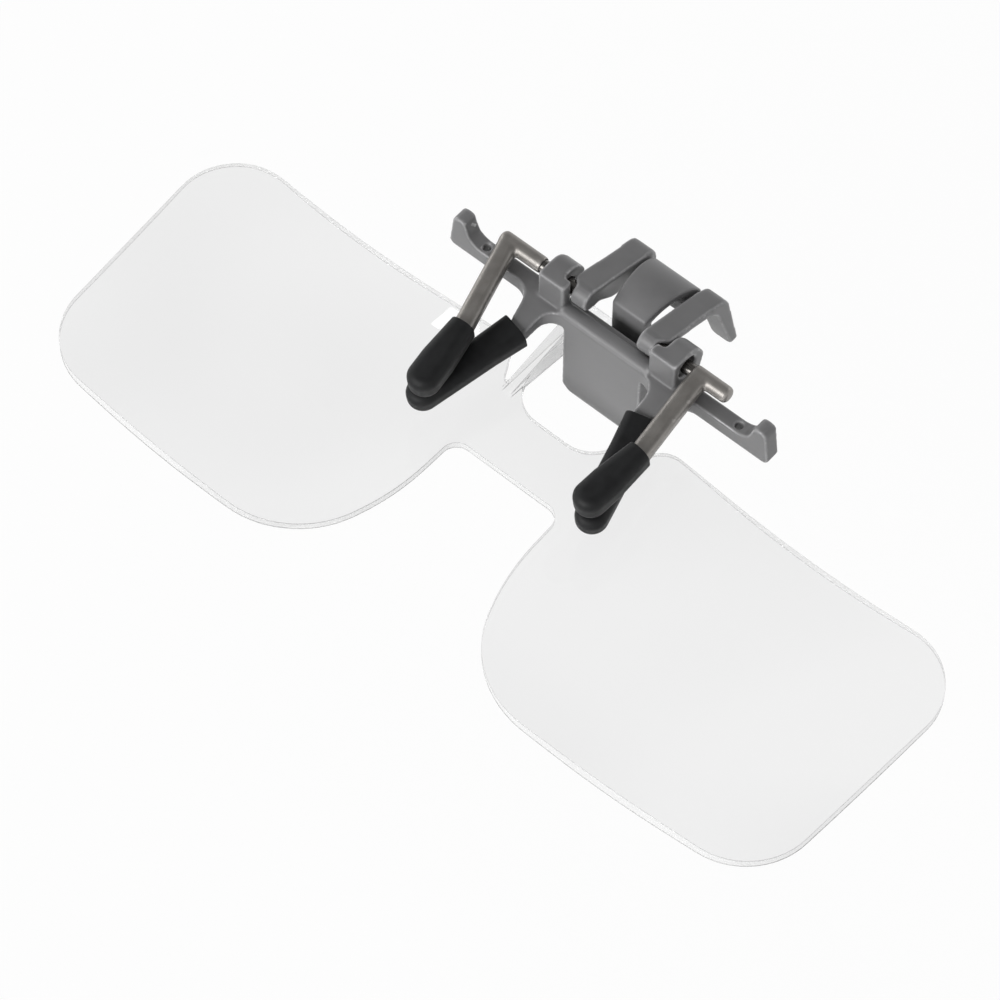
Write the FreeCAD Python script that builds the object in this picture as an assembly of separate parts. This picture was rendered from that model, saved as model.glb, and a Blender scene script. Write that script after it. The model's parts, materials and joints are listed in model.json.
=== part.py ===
"""Clip on eyeglass loupe: a one-piece pair of clear lenses on a sprung spectacle clip.

Design frame, in millimetres: X is sideways, Y points up the face to the brow and Z points
towards the wearer. Z = 0 is the flat back of the lens plate. The last step lays the whole
loupe down as it rests on a table, with the origin under the middle of its box.
"""
import FreeCAD, Part
import math
import os
from FreeCAD import Vector

# Lens plate, seen from the wearer's side. Each y is a height on the face.
LENS_SPAN = 134.6           # overall width
LENS_SIDE_LEAN = 4.1        # degrees by which each outer side leans in towards the bottom
LENS_TOP_Y = 11.4           # upper edge at its outer end
LENS_TOP_INNER_Y = 11.3     # upper edge at its inner end
LENS_TOP_DIP = 1.9          # how far the middle of the upper edge hangs
LENS_BOTTOM_INNER_Y = -34.5
LENS_BOTTOM_OUTER_Y = -32.6
LENS_BOTTOM_BOW = 0.8       # how far the middle of the lower edge bows out
LENS_BOTTOM_BOW_R = 280.0
LENS_TOP_DIP_R = 220.0
R_TOP_OUTER = 9.6
R_BOTTOM_OUTER = 10.9
R_BOTTOM_INNER = 15.2
R_TOP_INNER = 4.0
LENS_INNER_X = 13.9         # inner end of the upper edge
EDGE_THICK = 1.3            # thinnest rim
CENTRE_THICK = 3.5
SURFACE_R = 210.0           # radius of the bulging front surface
LENS_CENTRE = (40.5, -11.5)

# Nose notch below the bridge and the window above it.
NOTCH_HALF_TOP = 9.6
NOTCH_HALF_MIDDLE = 9.9     # where the straight cheeks of the notch start to flare
NOTCH_HALF_BOTTOM = 15.8
NOTCH_TOP_Y = -6.3
NOTCH_FLARE_Y = -18.4
NOTCH_FLARE_R = 36.0
NOTCH_R = 2.4
WINDOW_HALF = 8.3
WINDOW_BOTTOM_Y = 2.9
WINDOW_R = 5.5

# Clear stalks and hinge barrel that carry the lenses.
STALK_WIDE = 1.7
STALK_ROOT_Y = 3.9
STALK_ROOT_R = 0.5
HINGE_Y = 19.5
HINGE_Z = -0.6
BARREL_R = 3.3
HINGE_PIN_R = 0.9
HINGE_PIN_INSET = 0.2       # pin end below the barrel's end face

# Clip frame: wall (thumb pad), bar with end tabs, bearing blocks, rear legs.
WALL_HALF = 6.9
WALL_FRONT_Y = 13.3
WALL_THICK = 2.5
WALL_BOTTOM_Z = -7.5
WALL_TOP_Z = 10.8
WALL_CORNER_R = 1.9
WALL_EDGE_R = 1.3
WALL_REAR_DROP = 0.3        # the wall's top falls this much towards the rear
MOULD_R = 0.5               # usual small round of a moulded corner
BAR_HALF = 28.5
BAR_FRONT_Y = 14.2
BAR_DEEP = 2.5
BAR_BOTTOM_Z = 7.2
BAR_TOP_Z = 9.9
TAB_TOP_Z = 13.8
TAB_TOP_WIDE = 2.0
TAB_ROOT_WIDE = 4.0
TAB_LEAN = 0.8
TAB_FOOT_R = 0.8
TAB_OUTER_R = 1.1
TAB_INNER_R = 0.9
TAB_ROOT_R = 2.4
TAB_HOLE_FROM_END = 6.0
TAB_HOLE_R = 0.6
BLOCK_INNER_X = 7.5
BLOCK_WIDE = 4.7
BLOCK_STEP = 1.4            # how far the rear of a block stands off its inner face
BLOCK_LIP = 1.9             # depth of the full-width front of a block
BLOCK_FRONT_Y = 14.0
BLOCK_DEEP = 6.6
BLOCK_TOP_Z = 15.0
BLOCK_BOTTOM_Z = 9.0
BLOCK_REAR_R = 3.2
BLOCK_CROWN_BACK = 2.0      # how far the top corner stands ahead of the rear face
BLOCK_CHIN = 0.8            # how far the bottom corner stands ahead of the rear face
BLOCK_CHIN_R = 1.2
BLOCK_BACK_R = 1.5
RUNNING_CLEARANCE = 0.05    # radial, of a pin that turns in a bore
SIDE_CLEARANCE = 0.25       # between faces that slide past each other

# Lug behind the wall that takes the hinge pin and the spring's front foot.
LUG_HALF = 3.2
LUG_R = 3.2
LUG_TOP_Z = 5.2
SEAT_Z = 3.4
SEAT_LIP = 1.0
SEAT_R = 0.3
SEAT_SLACK = 0.1

# Axle of the sprung lever, one short pin on each side.
AXLE_Y = 16.8
AXLE_Z = 12.4
AXLE_R = 1.0
AXLE_GRIP = 2.0             # length of pin held in a prong or an arm
COUNTERBORE_R = 1.75
COUNTERBORE_DEEP = 1.0

# Lever: two prongs from the axle to the back, a crossbar and two finger claws.
PRONG_INNER_X = 4.5
PRONG_NECK_X = 7.2
PRONG_OUTER_X = 8.4
PRONG_FRONT_R = 1.8
PRONG_THICK = 1.7
PRONG_TOP_FRONT = (16.3, 14.6)
PRONG_TOP_REAR = (30.7, 9.6)
PRONG_NOSE = 0.6            # reach of the plate ahead of its top front corner
PRONG_NOSE_R = 0.9
PRONG_CHEEK_R = 1.0
PRONG_TAPER = 0.2           # a prong is this much narrower at its rear
PRONG_NECK_BEHIND = 0.6     # neck's rear end behind the block's lip
PRONG_CHEEK_BEHIND = 1.8    # start of the full width behind the block's lip
RIB_WIDE = 1.3
RIB_TOP_SUNK = 0.5          # how far the rib's top lies inside the plate
RIB_FRONT_Z = 10.5
RIB_FRONT_R = 0.2
RIB_LOW = ((18.3, 10.5, 1.0), (21.0, 8.4, 3.0), (26.6, 6.5, 2.0))
CROSSBAR_FRONT_Y = 27.4
CROSSBAR_BOTTOM_Z = 4.0
CROSSBAR_TOP_Z = 7.5
CLAW_TIP_Z = -2.8
CLAW_TIP_Y = 33.3
CLAW_SPLAY = 0.6            # how far the tips stand out sideways
CLAW_TIP_THICK = 1.5
CLAW_ROOT_THICK = 2.3
CLAW_BEND_R = 2.8
CLAW_CORNER_R = 1.2
CLAW_TIP_R = 0.65
CLAW_INNER_R = 1.5

# Arched spring strip between the frame's lug and the lever's crossbar.
SPRING_FRONT_Y = 19.0
SPRING_REAR_Y = 30.0
SPRING_SHOULDER_Z = 11.2
SPRING_CROWN = (23.6, 12.4)
SPRING_END_Z = 8.6
SPRING_THICK = 1.5
SPRING_HALF_FRONT = 2.95
SPRING_HALF_REAR = 4.2
SPRING_FOOT_GAP = 0.1

# Clamp arms, moulded as an elbow with a round stub.
ARM_WIDE = 2.9
ARM_TALL = 2.4
ARM_EDGE_R = 0.7
STUB_R = 1.25
STUB_CHAMFER = 0.4
LEFT_STUB_LONG = 5.1
RIGHT_STUB_LONG = 3.7
KNEE_OVERLAP = 0.4
ARM_TO_BLOCK = 0.8
ARM_MOUTH = (15.7, 2.6, 11.1)      # where an arm enters its sleeve, right side
ARM_TIP = (14.75, -6.6, 9.95)       # middle of the round end of the sleeve
CORE_SHORT = 0.8                    # how far a core stops before that middle

# Rear fingers of the frame, below the arms.
FINGER_ROOT = (11.2, 8.9, 7.8)
FINGER_TIP = (15.1, -6.6, 5.8)
FINGER_WIDE = 3.0
FINGER_TALL = 2.0
FINGER_EDGE_R = 0.6
LEG_OUTER_X = 13.7
LEG_INNER_X = 9.4
LEG_FILLET_R = 3.0
LEG_INNER_FILLET_R = 2.4
LEG_TALL = 2.1
LEG_DROP = 0.2              # middle of the leg's end below the finger's root

# Rubber sleeves on the arms and fingers.
FRONT_SLEEVE_MOUTH = 3.7
FRONT_SLEEVE_WIDE = 4.8
FRONT_SLEEVE_TALL = 4.2
FRONT_SLEEVE_BELLY = 6.2    # distance from the mouth at which it is widest
FRONT_SLEEVE_EDGE_R = 1.5
REAR_SLEEVE_MOUTH = 5.1
REAR_SLEEVE_WIDE = 4.7
REAR_SLEEVE_TALL = 3.5
REAR_SLEEVE_EDGE_R = 1.3
SLEEVE_CLEARANCE = 0.05
SLEEVE_FROM_LEG = 0.35

# Extra reach of a cutting tool or of a solid that is joined to another.
OVERREACH = 1.0

PLANES = {
    "XY": (Vector(1, 0, 0), Vector(0, 1, 0), Vector(0, 0, 1)),
    "YZ": (Vector(0, 1, 0), Vector(0, 0, 1), Vector(1, 0, 0)),
    "XZ": (Vector(1, 0, 0), Vector(0, 0, 1), Vector(0, -1, 0)),
}


def seated(shape, origin, across, up, out):
    """Moves a shape drawn on the plane XY to the plane that across and up span."""
    matrix = FreeCAD.Matrix(
        across.x, up.x, out.x, origin.x,
        across.y, up.y, out.y, origin.y,
        across.z, up.z, out.z, origin.z,
        0, 0, 0, 1,
    )
    moved = shape.copy()
    moved.Placement = FreeCAD.Placement(matrix).multiply(shape.Placement)
    return moved


def outline(corners):
    """Closed wire through corners (a, b, radius), each rounded to its radius."""
    points = [Vector(a, b, 0) for a, b, radius in corners]
    rounds = []
    for i, (a, b, radius) in enumerate(corners):
        corner = points[i]
        back = (points[i - 1] - corner).normalize()
        ahead = (points[(i + 1) % len(points)] - corner).normalize()
        if radius == 0:
            rounds.append((corner, None, corner))
            continue
        half = back.getAngle(ahead) / 2
        reach = radius / math.tan(half)
        middle = (back + ahead).normalize()
        centre = corner + middle * (radius / math.sin(half))
        rounds.append((corner + back * reach, centre - middle * radius, corner + ahead * reach))
    edges = []
    for i, (start, through, end) in enumerate(rounds):
        if through is not None:
            edges.append(Part.Arc(start, through, end).toShape())
        following = rounds[(i + 1) % len(rounds)][0]
        if (following - end).Length > 1e-6:
            edges.append(Part.LineSegment(end, following).toShape())
    return Part.Wire(edges)


def prism(corners, plane, low, high):
    """Solid of a rounded outline, from low to high along the axis square to its plane."""
    across, up, out = PLANES[plane]
    if plane == "XZ":
        low, high = -high, -low
    block = Part.Face(outline(corners)).extrude(Vector(0, 0, high - low))
    block.translate(Vector(0, 0, low))
    return seated(block, Vector(0, 0, 0), across, up, out)


def x_cylinder(radius, low, high, y, z):
    """Cylinder along X from low to high."""
    return Part.makeCylinder(radius, high - low, Vector(low, y, z), Vector(1, 0, 0))


def mirrored(shape):
    """The same shape on the other side of the middle."""
    return shape.mirror(Vector(0, 0, 0), Vector(1, 0, 0))


def both_sides(shape):
    """The shape and its mirror image, joined."""
    return shape.fuse(mirrored(shape))


def joined(shapes):
    """One clean solid from shapes that overlap."""
    return shapes[0].fuse(shapes[1:]).removeSplitter()


def tangent_point(point, centre, radius, side):
    """Where the line from point touches a circle, above it (side 1) or below it (side -1)."""
    dy = centre[0] - point[0]
    dz = centre[1] - point[1]
    spread = math.acos(radius / math.hypot(dy, dz))
    angle = math.atan2(-dz, -dy) - side * spread
    return centre[0] + radius * math.cos(angle), centre[1] + radius * math.sin(angle)


def directions(run):
    """Unit vectors along a run, level across it, and up from it."""
    along = Vector(run).normalize()
    across = along.cross(Vector(0, 0, 1)).normalize()
    return along, across, across.cross(along)


def bar_between(start, end, wide, tall, edge_r):
    """Straight bar with a rounded oblong section, level across, from start to end."""
    run = end - start
    along, across, up = directions(run)
    corners = [
        (-tall / 2, -wide / 2, edge_r),
        (tall / 2, -wide / 2, edge_r),
        (tall / 2, wide / 2, edge_r),
        (-tall / 2, wide / 2, edge_r),
    ]
    solid = Part.Face(outline(corners)).extrude(Vector(0, 0, run.Length))
    return seated(solid, start, up, across, along)


def pad_between(start, end, mouth, belly, wide, tall, edge_r):
    """Rounded rubber pad whose round end is centred on end, drawn flat and then tilted."""
    run = end - start
    along, across, up = directions(run)
    length = run.Length
    half = wide / 2
    sides = [
        Part.LineSegment(Vector(mouth / 2, 0, 0), Vector(half, belly, 0)),
        Part.LineSegment(Vector(half, belly, 0), Vector(half, length, 0)),
        Part.Arc(Vector(half, length, 0), Vector(0, length + half, 0), Vector(-half, length, 0)),
        Part.LineSegment(Vector(-half, length, 0), Vector(-half, belly, 0)),
        Part.LineSegment(Vector(-half, belly, 0), Vector(-mouth / 2, 0, 0)),
        Part.LineSegment(Vector(-mouth / 2, 0, 0), Vector(mouth / 2, 0, 0)),
    ]
    face = Part.Face(Part.Wire([side.toShape() for side in sides]))
    pad = face.extrude(Vector(0, 0, tall))
    pad.translate(Vector(0, 0, -tall / 2))
    rim = [
        edge for edge in pad.Edges
        if abs(abs(edge.CenterOfMass.z) - tall / 2) < 1e-6 and edge.CenterOfMass.y > 1e-6
    ]
    pad = pad.makeFillet(edge_r, rim)
    return seated(pad, start, across, along, up)


def lens_outline():
    """Corners of the whole lens plate, right half first."""
    lean = math.radians(LENS_SIDE_LEAN)
    overhang = R_TOP_OUTER * (math.tan(lean) + 1 / math.cos(lean) - 1)
    upper_x = LENS_SPAN / 2 + overhang
    lower_x = upper_x - (LENS_TOP_Y - LENS_BOTTOM_OUTER_Y) * math.tan(lean)
    top_middle_y = (LENS_TOP_Y + LENS_TOP_INNER_Y) / 2 - LENS_TOP_DIP
    bottom_middle_x = (NOTCH_HALF_BOTTOM + lower_x) / 2
    bottom_middle_y = (LENS_BOTTOM_INNER_Y + LENS_BOTTOM_OUTER_Y) / 2 - LENS_BOTTOM_BOW
    stalk_outer = WINDOW_HALF + STALK_WIDE
    stalk_end = HINGE_Y - BARREL_R
    half = [
        (NOTCH_HALF_TOP, NOTCH_TOP_Y, NOTCH_R),
        (NOTCH_HALF_MIDDLE, NOTCH_FLARE_Y, NOTCH_FLARE_R),
        (NOTCH_HALF_BOTTOM, LENS_BOTTOM_INNER_Y, R_BOTTOM_INNER),
        (bottom_middle_x, bottom_middle_y, LENS_BOTTOM_BOW_R),
        (lower_x, LENS_BOTTOM_OUTER_Y, R_BOTTOM_OUTER),
        (upper_x, LENS_TOP_Y, R_TOP_OUTER),
        (LENS_CENTRE[0], top_middle_y, LENS_TOP_DIP_R),
        (LENS_INNER_X, LENS_TOP_INNER_Y, R_TOP_INNER),
        (stalk_outer, STALK_ROOT_Y, STALK_ROOT_R),
        (stalk_outer, stalk_end, 0),
        (WINDOW_HALF, stalk_end, 0),
        (WINDOW_HALF, WINDOW_BOTTOM_Y, WINDOW_R),
    ]
    return half + [(-x, y, radius) for x, y, radius in reversed(half)]


def lens_pair():
    """Both lenses, the bridge, the stalks and the hinge barrels: one clear moulding."""
    plate = prism(lens_outline(), "XY", -EDGE_THICK, 0)
    depth = prism(lens_outline(), "XY", -CENTRE_THICK - OVERREACH, -EDGE_THICK)
    ball = Part.makeSphere(SURFACE_R)
    ball.rotate(Vector(0, 0, 0), Vector(1, 0, 0), 90)
    ball.translate(Vector(LENS_CENTRE[0], LENS_CENTRE[1], SURFACE_R - CENTRE_THICK))
    bulge = depth.common(ball)
    bulge_left = depth.common(mirrored(ball))
    hinge = (HINGE_Y, HINGE_Z)
    upper = tangent_point((STALK_ROOT_Y, 0), hinge, BARREL_R, 1)
    lower = tangent_point((STALK_ROOT_Y, -EDGE_THICK), hinge, BARREL_R, -1)
    side_view = [
        (STALK_ROOT_Y, -EDGE_THICK, 0),
        (lower[0], lower[1], 0),
        (HINGE_Y, HINGE_Z, 0),
        (upper[0], upper[1], 0),
        (STALK_ROOT_Y, 0, 0),
    ]
    outer = WINDOW_HALF + STALK_WIDE
    stalk = prism(side_view, "YZ", WINDOW_HALF, outer)
    barrel = x_cylinder(BARREL_R, LUG_HALF + SIDE_CLEARANCE, outer, *hinge)
    bore = x_cylinder(HINGE_PIN_R, -outer - OVERREACH, outer + OVERREACH, *hinge)
    pair = joined([plate, bulge, bulge_left, both_sides(stalk), both_sides(barrel)])
    return pair.cut(bore)


def hinge_pin():
    """Pin through the lug and both barrels, on which the lenses flip."""
    reach = WINDOW_HALF + STALK_WIDE - HINGE_PIN_INSET
    return x_cylinder(HINGE_PIN_R, -reach, reach, HINGE_Y, HINGE_Z)


def frame_bar():
    """Crossbar with the upright tabs at its ends and a small hole beside each."""
    half = [
        (BAR_HALF, BAR_BOTTOM_Z, TAB_FOOT_R),
        (BAR_HALF - TAB_LEAN, TAB_TOP_Z, TAB_OUTER_R),
        (BAR_HALF - TAB_LEAN - TAB_TOP_WIDE, TAB_TOP_Z, TAB_INNER_R),
        (BAR_HALF - TAB_ROOT_WIDE, BAR_TOP_Z, TAB_ROOT_R),
    ]
    corners = half + [(-x, z, radius) for x, z, radius in reversed(half)]
    bar = prism(corners, "XZ", BAR_FRONT_Y, BAR_FRONT_Y + BAR_DEEP)
    middle = BAR_FRONT_Y + BAR_DEEP / 2
    height = BAR_TOP_Z - BAR_BOTTOM_Z + 2 * OVERREACH
    hole_x = BAR_HALF - TAB_HOLE_FROM_END
    for x in (-hole_x, hole_x):
        bar = bar.cut(Part.makeCylinder(TAB_HOLE_R, height, Vector(x, middle, BAR_BOTTOM_Z - OVERREACH)))
    return bar


def frame_wall():
    """Upright wall that fills the window above the bridge: the pad for the thumb."""
    rear = WALL_FRONT_Y + WALL_THICK
    face_on = [
        (-WALL_HALF, WALL_BOTTOM_Z, WALL_CORNER_R),
        (WALL_HALF, WALL_BOTTOM_Z, WALL_CORNER_R),
        (WALL_HALF, BAR_TOP_Z, 0),
        (-WALL_HALF, BAR_TOP_Z, 0),
    ]
    side_on = [
        (WALL_FRONT_Y, BAR_BOTTOM_Z, 0),
        (rear, BAR_BOTTOM_Z, 0),
        (rear, WALL_TOP_Z - WALL_REAR_DROP, MOULD_R),
        (WALL_FRONT_Y, WALL_TOP_Z, WALL_EDGE_R),
    ]
    wall = prism(face_on, "XZ", WALL_FRONT_Y, rear)
    rail = prism(side_on, "YZ", -BLOCK_INNER_X - OVERREACH / 2, BLOCK_INNER_X + OVERREACH / 2)
    return wall.fuse(rail)


def frame_lug():
    """Lug behind the wall: bore of the hinge pin and pocket of the spring's front foot."""
    front = WALL_FRONT_Y + WALL_THICK - OVERREACH
    rear = HINGE_Y + BARREL_R
    foot_front = SPRING_FRONT_Y - SEAT_SLACK
    foot_rear = SPRING_FRONT_Y + SPRING_THICK + SEAT_SLACK
    low = HINGE_Z - BARREL_R
    side_on = [
        (front, low, 0),
        (rear, low, LUG_R),
        (rear, SEAT_Z + SEAT_LIP, SEAT_R),
        (foot_rear, SEAT_Z + SEAT_LIP, SEAT_R),
        (foot_rear, SEAT_Z, 0),
        (foot_front, SEAT_Z, 0),
        (foot_front, LUG_TOP_Z, MOULD_R),
        (front, LUG_TOP_Z, 0),
    ]
    return prism(side_on, "YZ", -LUG_HALF, LUG_HALF)


def frame_block():
    """Right bearing block: a full-width lip in front and a narrower bearing behind it."""
    outer = BLOCK_INNER_X + BLOCK_WIDE
    inner_rear = BLOCK_INNER_X + BLOCK_STEP
    lip_rear = BLOCK_FRONT_Y + BLOCK_LIP
    rear = BLOCK_FRONT_Y + BLOCK_DEEP
    plan = [
        (BLOCK_INNER_X, BLOCK_FRONT_Y, MOULD_R),
        (outer, BLOCK_FRONT_Y, MOULD_R),
        (outer, rear + OVERREACH, 0),
        (inner_rear, rear + OVERREACH, 0),
        (inner_rear, lip_rear, MOULD_R),
        (BLOCK_INNER_X, lip_rear, MOULD_R),
    ]
    side_on = [
        (BLOCK_FRONT_Y, BAR_BOTTOM_Z + OVERREACH, 0),
        (BAR_FRONT_Y + BAR_DEEP, BAR_BOTTOM_Z + OVERREACH, 0),
        (rear - BLOCK_CHIN, BLOCK_BOTTOM_Z, BLOCK_CHIN_R),
        (rear, (BLOCK_BOTTOM_Z + BLOCK_TOP_Z) / 2, BLOCK_BACK_R),
        (rear - BLOCK_CROWN_BACK, BLOCK_TOP_Z, BLOCK_REAR_R),
        (BLOCK_FRONT_Y, BLOCK_TOP_Z, MOULD_R),
    ]
    tall = prism(plan, "XY", BAR_BOTTOM_Z, BLOCK_TOP_Z + OVERREACH)
    wide = prism(side_on, "YZ", BLOCK_INNER_X - OVERREACH, outer + OVERREACH)
    return tall.common(wide)


def axle_bores():
    """Tool for the bearing bores and their counterbores, on both sides."""
    outer = BLOCK_INNER_X + BLOCK_WIDE
    inner = BLOCK_INNER_X - OVERREACH
    bore = x_cylinder(AXLE_R + RUNNING_CLEARANCE, inner, outer + OVERREACH, AXLE_Y, AXLE_Z)
    sink = x_cylinder(COUNTERBORE_R, outer - COUNTERBORE_DEEP, outer + OVERREACH, AXLE_Y, AXLE_Z)
    return both_sides(bore.fuse(sink))


def frame_leg():
    """Right leg: a web that sweeps from the bar down to the root of the rear finger."""
    root = Vector(*FINGER_ROOT)
    slope = (FINGER_TIP[0] - FINGER_ROOT[0]) / (FINGER_TIP[1] - FINGER_ROOT[1])
    half = FINGER_WIDE / 2
    inside_bar = BAR_FRONT_Y + OVERREACH
    plan = [
        (LEG_OUTER_X + LEG_FILLET_R + OVERREACH, inside_bar, 0),
        (LEG_OUTER_X + LEG_FILLET_R + OVERREACH, BAR_FRONT_Y, 0),
        (LEG_OUTER_X, BAR_FRONT_Y, LEG_FILLET_R),
        (root.x + half, root.y - half * slope, 0),
        (root.x - half, root.y + half * slope, 0),
        (LEG_INNER_X, WALL_FRONT_Y, LEG_INNER_FILLET_R),
        (WALL_HALF - OVERREACH, WALL_FRONT_Y, 0),
        (WALL_HALF - OVERREACH, inside_bar, 0),
    ]
    side_on = [
        (inside_bar, BAR_BOTTOM_Z, 0),
        (inside_bar, BAR_TOP_Z, 0),
        (WALL_FRONT_Y, BAR_TOP_Z, LEG_FILLET_R),
        (root.y - OVERREACH, root.z + LEG_TALL / 2 - LEG_DROP, 0),
        (root.y - OVERREACH, root.z - LEG_TALL / 2 - LEG_DROP, 0),
        (WALL_FRONT_Y, BAR_BOTTOM_Z, LEG_FILLET_R),
    ]
    tall = prism(plan, "XY", root.z - LEG_TALL - OVERREACH, BAR_TOP_Z + OVERREACH)
    wide = prism(side_on, "YZ", 0, BAR_HALF)
    return tall.common(wide)


def finger_core_end():
    """Where the stiff core of a rear finger stops inside its sleeve."""
    root = Vector(*FINGER_ROOT)
    run = Vector(*FINGER_TIP) - root
    return root + Vector(run).normalize() * (run.Length - CORE_SHORT)


def clip_frame():
    """The stiff body of the clip, one moulding."""
    core = bar_between(
        Vector(*FINGER_ROOT), finger_core_end(), FINGER_WIDE, FINGER_TALL, FINGER_EDGE_R)
    parts = [frame_bar(), frame_wall(), frame_lug()]
    for piece in (frame_block(), frame_leg(), core):
        parts.append(piece)
        parts.append(mirrored(piece))
    frame = joined(parts).cut(axle_bores())
    pin_bore = x_cylinder(
        HINGE_PIN_R + RUNNING_CLEARANCE, -LUG_HALF - OVERREACH, LUG_HALF + OVERREACH,
        HINGE_Y, HINGE_Z)
    return frame.cut(pin_bore)


def prong():
    """Right prong of the lever: a boss on the axle, a plate and a stiffening rib."""
    front_y, front_z = PRONG_TOP_FRONT
    rear_y, rear_z = PRONG_TOP_REAR
    slope = (rear_z - front_z) / (rear_y - front_y)
    low_rear = (CROSSBAR_FRONT_Y, front_z + slope * (CROSSBAR_FRONT_Y - front_y))
    lip_rear = BLOCK_FRONT_Y + BLOCK_LIP
    plate_side = [
        (front_y - PRONG_NOSE, AXLE_Z, 0),
        (front_y - PRONG_NOSE, front_z, PRONG_NOSE_R),
        (low_rear[0] + OVERREACH, low_rear[1] + slope * OVERREACH, 0),
        (low_rear[0] + OVERREACH, low_rear[1] + slope * OVERREACH - PRONG_THICK, 0),
        (AXLE_Y + PRONG_FRONT_R, AXLE_Z, 0),
    ]
    rib_side = [
        (AXLE_Y, AXLE_Z, 0),
        (AXLE_Y, RIB_FRONT_Z, RIB_FRONT_R),
        *RIB_LOW,
        (CROSSBAR_FRONT_Y, CROSSBAR_BOTTOM_Z, MOULD_R),
        (SPRING_REAR_Y, CROSSBAR_BOTTOM_Z, 0),
        (SPRING_REAR_Y, rear_z - RIB_TOP_SUNK, 0),
        (low_rear[0], low_rear[1] - RIB_TOP_SUNK, 0),
    ]
    plan = [
        (PRONG_INNER_X, AXLE_Y - PRONG_FRONT_R - OVERREACH, 0),
        (PRONG_NECK_X, AXLE_Y - PRONG_FRONT_R - OVERREACH, 0),
        (PRONG_NECK_X, lip_rear + PRONG_NECK_BEHIND, MOULD_R),
        (PRONG_OUTER_X, lip_rear + PRONG_CHEEK_BEHIND, PRONG_CHEEK_R),
        (PRONG_OUTER_X - PRONG_TAPER, rear_y, 0),
        (PRONG_INNER_X, rear_y, 0),
    ]
    plate = prism(plate_side, "YZ", PRONG_INNER_X, PRONG_OUTER_X + OVERREACH)
    rib = prism(rib_side, "YZ", PRONG_INNER_X, PRONG_INNER_X + RIB_WIDE)
    boss = x_cylinder(PRONG_FRONT_R, PRONG_INNER_X, PRONG_OUTER_X + OVERREACH, AXLE_Y, AXLE_Z)
    shape = joined([plate, rib, boss])
    return shape.common(prism(plan, "XY", CROSSBAR_BOTTOM_Z - OVERREACH, front_z + OVERREACH))


def claw():
    """Right finger claw, bent down from the rear of its prong."""
    front_y, front_z = PRONG_TOP_FRONT
    rear_y, rear_z = PRONG_TOP_REAR
    slope = (rear_z - front_z) / (rear_y - front_y)
    start_z = front_z + slope * (CROSSBAR_FRONT_Y - front_y)
    side_on = [
        (CROSSBAR_FRONT_Y, start_z, 0),
        (rear_y, rear_z, CLAW_BEND_R),
        (CLAW_TIP_Y, CLAW_TIP_Z, CLAW_TIP_R),
        (CLAW_TIP_Y - CLAW_TIP_THICK, CLAW_TIP_Z, CLAW_TIP_R),
        (rear_y - CLAW_ROOT_THICK, rear_z - PRONG_THICK, CLAW_INNER_R),
        (CROSSBAR_FRONT_Y, start_z - PRONG_THICK, 0),
    ]
    face_on = [
        (PRONG_INNER_X + CLAW_SPLAY, CLAW_TIP_Z, CLAW_CORNER_R),
        (PRONG_OUTER_X - PRONG_TAPER + CLAW_SPLAY, CLAW_TIP_Z, CLAW_CORNER_R),
        (PRONG_OUTER_X - PRONG_TAPER, front_z, 0),
        (PRONG_INNER_X, front_z, 0),
    ]
    bent = prism(side_on, "YZ", PRONG_INNER_X, PRONG_OUTER_X + CLAW_SPLAY)
    return bent.common(prism(face_on, "XZ", CROSSBAR_FRONT_Y, CLAW_TIP_Y + OVERREACH))


def crossbar():
    """Bar between the ribs that carries the spring's rear foot."""
    side_on = [
        (CROSSBAR_FRONT_Y, CROSSBAR_BOTTOM_Z, MOULD_R),
        (SPRING_REAR_Y, CROSSBAR_BOTTOM_Z, MOULD_R),
        (SPRING_REAR_Y, CROSSBAR_TOP_Z, 0),
        (CROSSBAR_FRONT_Y, CROSSBAR_TOP_Z, MOULD_R),
    ]
    reach = PRONG_INNER_X + RIB_WIDE / 2
    return prism(side_on, "YZ", -reach, reach)


def clamp_lever():
    """Prongs, crossbar and claws, one moulding that turns on the axle pins."""
    lever = joined([both_sides(prong()), both_sides(claw()), crossbar()])
    bore = x_cylinder(AXLE_R, PRONG_NECK_X - AXLE_GRIP, PRONG_OUTER_X + OVERREACH, AXLE_Y, AXLE_Z)
    return lever.cut(both_sides(bore))


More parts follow.
